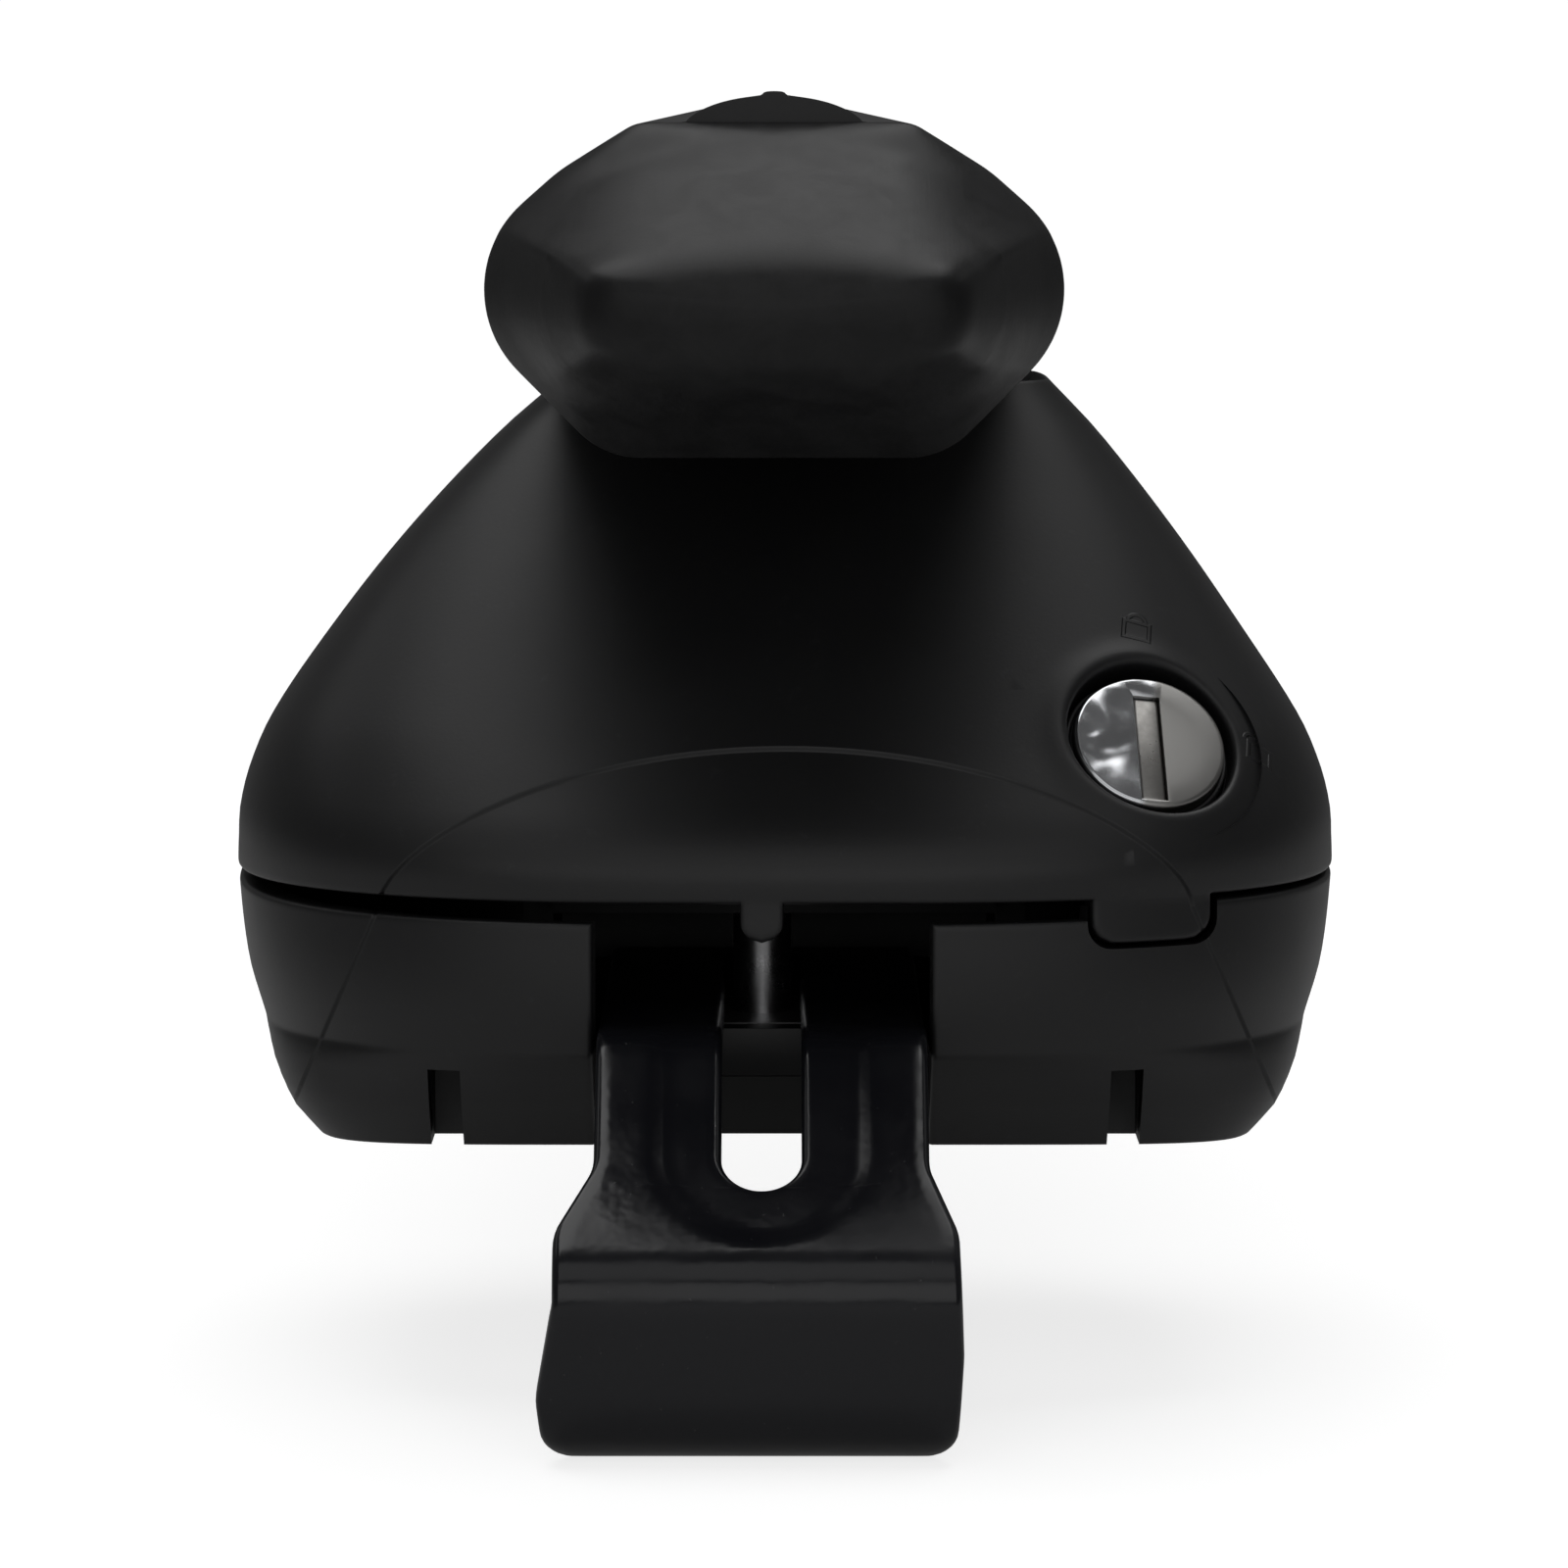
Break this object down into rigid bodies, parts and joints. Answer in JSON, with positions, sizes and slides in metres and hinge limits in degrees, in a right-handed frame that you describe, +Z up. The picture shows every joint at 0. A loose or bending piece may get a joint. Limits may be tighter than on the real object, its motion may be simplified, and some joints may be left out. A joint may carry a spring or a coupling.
{
  "type": "roof rack crossbar",
  "caption": "Black roof rack crossbar with a faceted aerodynamic bar on locking feet, each clamped by a slotted steel hook.",
  "frame": {"origin": "on the ground that the hooks stand on, under the middle of the bar", "axes": "+Y along the bar towards the right foot, +Z up, +X across the bar towards the left foot's lock"},
  "size_m": [0.1136, 1.2, 0.1285],
  "materials": {
    "bar_coating": "black anodised, fine die lines",
    "slot_rubber": "matte black extruded rubber",
    "cap_plastic": "soft satin black with faint scuffs",
    "foot_plastic": "satin black moulding, fine grain",
    "pad_rubber": "matte black rubber",
    "plated_steel": "zinc plated",
    "fastener_steel": "zinc plated",
    "hook_coating": "glossy blue-black coating",
    "lock_body": "black diecast",
    "lock_steel": "half brushed, half polished stainless"
  },
  "bodies": {
    "crossbar": {"bar": "bar_coating", "slot_strip": "slot_rubber", "left_end_cap": "cap_plastic", "right_end_cap": "cap_plastic", "left_base": "foot_plastic", "left_foot_pad": "pad_rubber", "left_tower": "plated_steel", "left_bridge_plate": "plated_steel", "left_bar_saddle": "pad_rubber", "left_bar_bolts": "fastener_steel", "left_bar_nuts": "fastener_steel", "left_tower_screws": "fastener_steel", "left_screw_washer": "fastener_steel", "right_base": "foot_plastic", "right_foot_pad": "pad_rubber", "right_tower": "plated_steel", "right_bridge_plate": "plated_steel", "right_bar_saddle": "pad_rubber", "right_bar_bolts": "fastener_steel", "right_bar_nuts": "fastener_steel", "right_tower_screws": "fastener_steel", "right_screw_washer": "fastener_steel"},
    "left_cover": {"left_cover": "foot_plastic", "left_lock_barrel": "lock_body", "left_barrel_nut": "plated_steel"},
    "left_lock": {"left_lock_plug": "lock_steel", "left_key_shutter": "lock_steel", "left_lock_cam": "plated_steel", "left_cam_screw": "fastener_steel"},
    "left_screw": {"left_clamp_screw": "fastener_steel"},
    "left_clamp_nut": {"left_nut_plate": "plated_steel"},
    "left_clamp": {"left_clamp_hook": "hook_coating", "left_hook_pad": "pad_rubber"},
    "right_cover": {"right_cover": "foot_plastic", "right_lock_barrel": "lock_body", "right_barrel_nut": "plated_steel"},
    "right_lock": {"right_lock_plug": "lock_steel", "right_key_shutter": "lock_steel", "right_lock_cam": "plated_steel", "right_cam_screw": "fastener_steel"},
    "right_screw": {"right_clamp_screw": "fastener_steel"},
    "right_clamp_nut": {"right_nut_plate": "plated_steel"},
    "right_clamp": {"right_clamp_hook": "hook_coating", "right_hook_pad": "pad_rubber"}
  },
  "joints": [
    {"name": "left_cover_lift_off", "type": "slide", "parent": "crossbar", "child": "left_cover", "axis": [0, -1, 0], "range_m": [0, 0.2]},
    {"name": "left_lock_turn", "type": "hinge", "parent": "left_cover", "child": "left_lock", "pos_m": [0.0368, -0.552, 0.0652], "axis": [-0.2142, 0.747, -0.6293], "range_deg": [0, 90]},
    {"name": "left_clamp_screw_turn", "type": "hinge", "parent": "crossbar", "child": "left_screw", "pos_m": [-0.0012, -0.525, 0.0486], "axis": [0, 0, -1], "range_deg": [0, 2161]},
    {"name": "left_clamp_lift", "type": "slide", "parent": "crossbar", "child": "left_clamp_nut", "axis": [0, 0, 1], "range_m": [0, 0.006]},
    {"name": "left_clamp_reach", "type": "slide", "parent": "left_clamp_nut", "child": "left_clamp", "axis": [0, -1, 0], "range_m": [-0.014, 0.012]},
    {"name": "right_cover_lift_off", "type": "slide", "parent": "crossbar", "child": "right_cover", "axis": [0, 1, 0], "range_m": [0, 0.2]},
    {"name": "right_lock_turn", "type": "hinge", "parent": "right_cover", "child": "right_lock", "pos_m": [-0.0368, 0.552, 0.0652], "axis": [0.2142, -0.747, -0.6293], "range_deg": [0, 90]},
    {"name": "right_clamp_screw_turn", "type": "hinge", "parent": "crossbar", "child": "right_screw", "pos_m": [0.0012, 0.525, 0.0486], "axis": [0, 0, -1], "range_deg": [0, 2161]},
    {"name": "right_clamp_lift", "type": "slide", "parent": "crossbar", "child": "right_clamp_nut", "axis": [0, 0, 1], "range_m": [0, 0.006]},
    {"name": "right_clamp_reach", "type": "slide", "parent": "right_clamp_nut", "child": "right_clamp", "axis": [0, 1, 0], "range_m": [-0.014, 0.012]}
  ],
  "couplings": [
    {"joint": "left_clamp_screw_turn", "follows": "left_clamp_lift", "rad_per_m": 6283.2},
    {"joint": "right_clamp_screw_turn", "follows": "right_clamp_lift", "rad_per_m": 6283.2}
  ]
}
